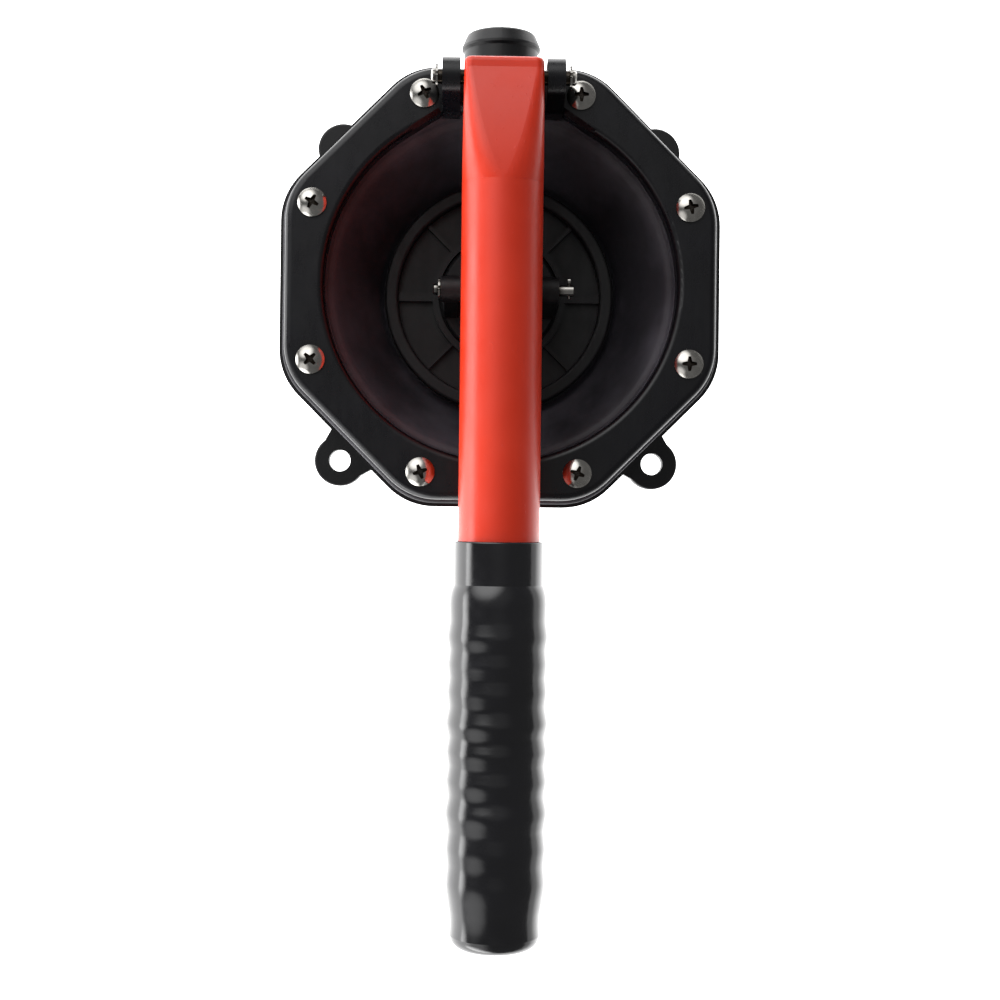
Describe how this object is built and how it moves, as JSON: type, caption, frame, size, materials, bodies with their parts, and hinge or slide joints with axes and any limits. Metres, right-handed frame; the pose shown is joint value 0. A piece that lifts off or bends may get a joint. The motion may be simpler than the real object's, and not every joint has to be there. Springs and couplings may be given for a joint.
{
  "type": "manual bilge pump",
  "caption": "Lever-worked diaphragm bilge pump with an octagonal clamp ring, in-line hose tails, mounting ears and a long gripped lever.",
  "frame": {"origin": "centre of the four mounting holes, on the flat mounting face", "axes": "+Z from the mounting face to the lever, +Y towards the outlet tail, +X to the right seen from the lever side"},
  "size_m": [0.1548, 0.3249, 0.1012],
  "materials": {
    "housing_plastic": "moulded black, fine satin grain",
    "ring_plastic": "moulded black, semi-gloss",
    "tail_plastic": "moulded black, semi-gloss",
    "plate_plastic": "moulded black, satin",
    "seat_plastic": "moulded black, satin",
    "lever_red": "smooth red, satin gloss",
    "grip_vinyl": "dipped black vinyl, glossy",
    "diaphragm_rubber": "smooth black rubber, semi-gloss",
    "seal_rubber": "black rubber",
    "stainless": "satin stainless steel",
    "bush_nylon": "natural nylon"
  },
  "bodies": {
    "pump_body": {"body_housing": "housing_plastic", "clamp_ring": "ring_plastic", "ring_screws": "stainless", "ring_nuts": "stainless", "diaphragm": "diaphragm_rubber", "outlet_tail": "tail_plastic", "inlet_tail": "tail_plastic", "outlet_gasket": "seal_rubber", "inlet_gasket": "seal_rubber", "outlet_tail_screws": "stainless", "inlet_tail_screws": "stainless", "outlet_valve_seat": "seat_plastic", "inlet_valve_seat": "seat_plastic", "outlet_flap_pin": "stainless", "inlet_flap_pin": "stainless", "pivot_pin": "stainless", "pivot_clips": "stainless"},
    "lever": {"lever_arm": "lever_red", "grip": "grip_vinyl", "pivot_bushes": "bush_nylon"},
    "plate": {"diaphragm_plate": "plate_plastic", "backing_plate": "plate_plastic", "yoke": "plate_plastic", "plate_bolt": "stainless", "plate_washer": "stainless", "plate_nut": "stainless", "link_pin": "stainless", "link_clip": "stainless", "link_split_pin": "stainless"},
    "outlet_flap": {"outlet_flap": "seal_rubber", "outlet_flap_weight": "stainless", "outlet_flap_rivet": "stainless"},
    "inlet_flap": {"inlet_flap": "seal_rubber", "inlet_flap_weight": "stainless", "inlet_flap_rivet": "stainless"}
  },
  "joints": [
    {"name": "lever_pivot", "type": "hinge", "parent": "pump_body", "child": "lever", "pos_m": [0, 0.0675, 0.084], "axis": [-1, 0, 0], "range_deg": [0, 38]},
    {"name": "plate_stroke", "type": "slide", "parent": "pump_body", "child": "plate", "axis": [0, 0, 1], "range_m": [0, 0.0479], "deforming": ["diaphragm"]},
    {"name": "outlet_flap_hinge", "type": "hinge", "parent": "pump_body", "child": "outlet_flap", "pos_m": [0, 0.0621, 0.032], "axis": [1, 0, 0], "range_deg": [0, 40]},
    {"name": "inlet_flap_hinge", "type": "hinge", "parent": "pump_body", "child": "inlet_flap", "pos_m": [0, -0.0609, 0.032], "axis": [1, 0, 0], "range_deg": [0, 40]}
  ],
  "couplings": [
    {"joint": "plate_stroke", "follows": "lever_pivot", "m_per_rad": 0.0722}
  ]
}
